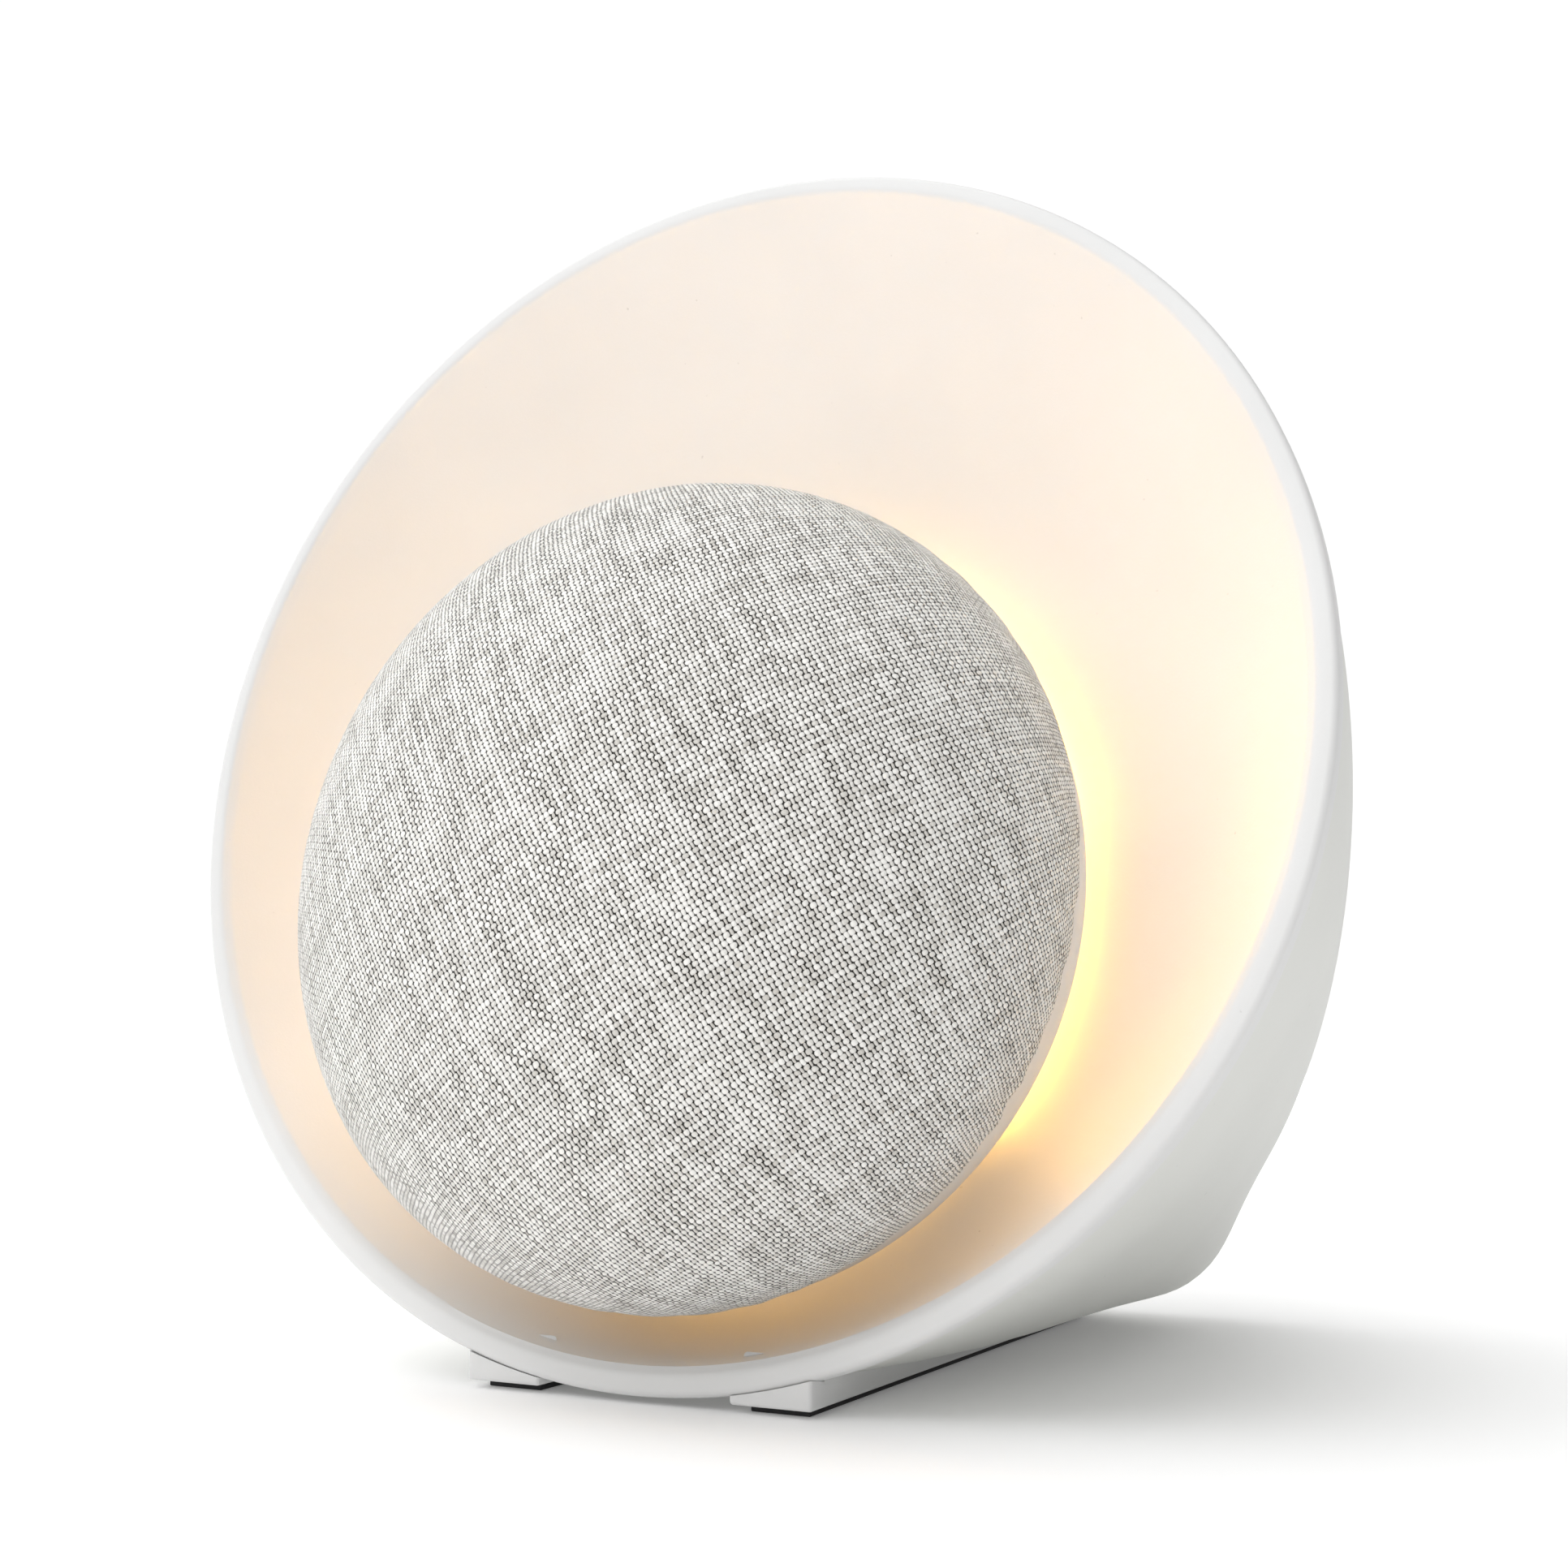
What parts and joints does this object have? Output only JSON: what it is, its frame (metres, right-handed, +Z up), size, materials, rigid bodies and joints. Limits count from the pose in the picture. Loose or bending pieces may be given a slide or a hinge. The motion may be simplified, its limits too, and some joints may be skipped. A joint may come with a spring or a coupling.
{
  "type": "smart speaker",
  "caption": "Fabric-covered smart speaker pod set low in a leaning, softly lit white bowl on two foot rails.",
  "frame": {"origin": "on the table, under the middle of the bounding box", "axes": "+Z up; -Y the front, where the bowl and the speaker face; +X to the right as seen from the front"},
  "size_m": [0.153, 0.1288, 0.1519],
  "materials": {
    "white_plastic": "fine matt white moulding",
    "shell_plastic": "fine matt white moulding, a little greyer",
    "pad_rubber": "matt black",
    "heather_fabric": "plain weave in warm light greys with dark slubs",
    "light_diffuser": "translucent warm white",
    "black_plastic": "matt",
    "mute_orange": "matt",
    "circuit_board": "green solder mask",
    "led_board_white": "white solder mask",
    "ballast_iron": "plain casting",
    "steel": "zinc plated",
    "shield_can": "tinned",
    "spreader_aluminium": "satin",
    "magnet_ferrite": "dark ferrite",
    "coil_copper": "enamelled copper",
    "cone_paper": "pressed black paper",
    "surround_rubber": "matt black",
    "spider_cloth": "resin-stiffened cloth",
    "mic_gold": "plated can"
  },
  "bodies": {
    "housing": {"reflector_bowl": "white_plastic", "rear_shell": "shell_plastic", "foot_rail_left": "white_plastic", "foot_rail_right": "white_plastic", "foot_pad_left": "pad_rubber", "foot_pad_right": "pad_rubber", "ballast_block": "ballast_iron", "power_board": "circuit_board", "board_screw_1": "steel", "board_screw_2": "steel", "board_screw_3": "steel", "board_screw_4": "steel", "storage_capacitor": "black_plastic", "drum_inductor": "black_plastic", "power_inlet": "black_plastic", "button_switch": "black_plastic", "mute_switch": "black_plastic", "wire_harness": "black_plastic", "light_ring": "light_diffuser", "led_board": "led_board_white", "pod_mount_ring": "white_plastic", "pod_screw_1": "steel", "pod_screw_2": "steel", "pod_screw_3": "steel", "pod_base": "white_plastic", "fabric_cover": "heather_fabric", "grille_dome": "black_plastic", "driver_carrier": "black_plastic", "main_board": "circuit_board", "processor_shield": "shield_can", "heat_spreader": "spreader_aluminium", "microphone_left": "mic_gold", "microphone_right": "mic_gold", "status_light_bridge": "led_board_white", "driver_yoke": "steel", "driver_magnet": "magnet_ferrite", "driver_top_plate": "steel", "driver_basket": "steel", "surround": "surround_rubber", "spider": "spider_cloth", "driver_gasket": "surround_rubber"},
    "cone_assembly": {"driver_cone": "cone_paper", "dust_cap": "cone_paper", "voice_coil": "coil_copper"},
    "power_key": {"power_button": "white_plastic"},
    "mute_key": {"mute_slider": "mute_orange"}
  },
  "joints": [
    {"name": "cone_travel", "type": "slide", "parent": "housing", "child": "cone_assembly", "axis": [0, -0.9871, 0.1599], "range_m": [-0.0012, 0.0012], "stiffness_N_per_m": 1200, "deforming": ["surround", "spider"]},
    {"name": "power_press", "type": "slide", "parent": "housing", "child": "power_key", "axis": [0, -1, 0], "range_m": [0, 0.0005], "stiffness_N_per_m": 1000},
    {"name": "mute_slide", "type": "slide", "parent": "housing", "child": "mute_key", "axis": [1, 0, 0], "range_m": [0, 0.003]}
  ]
}
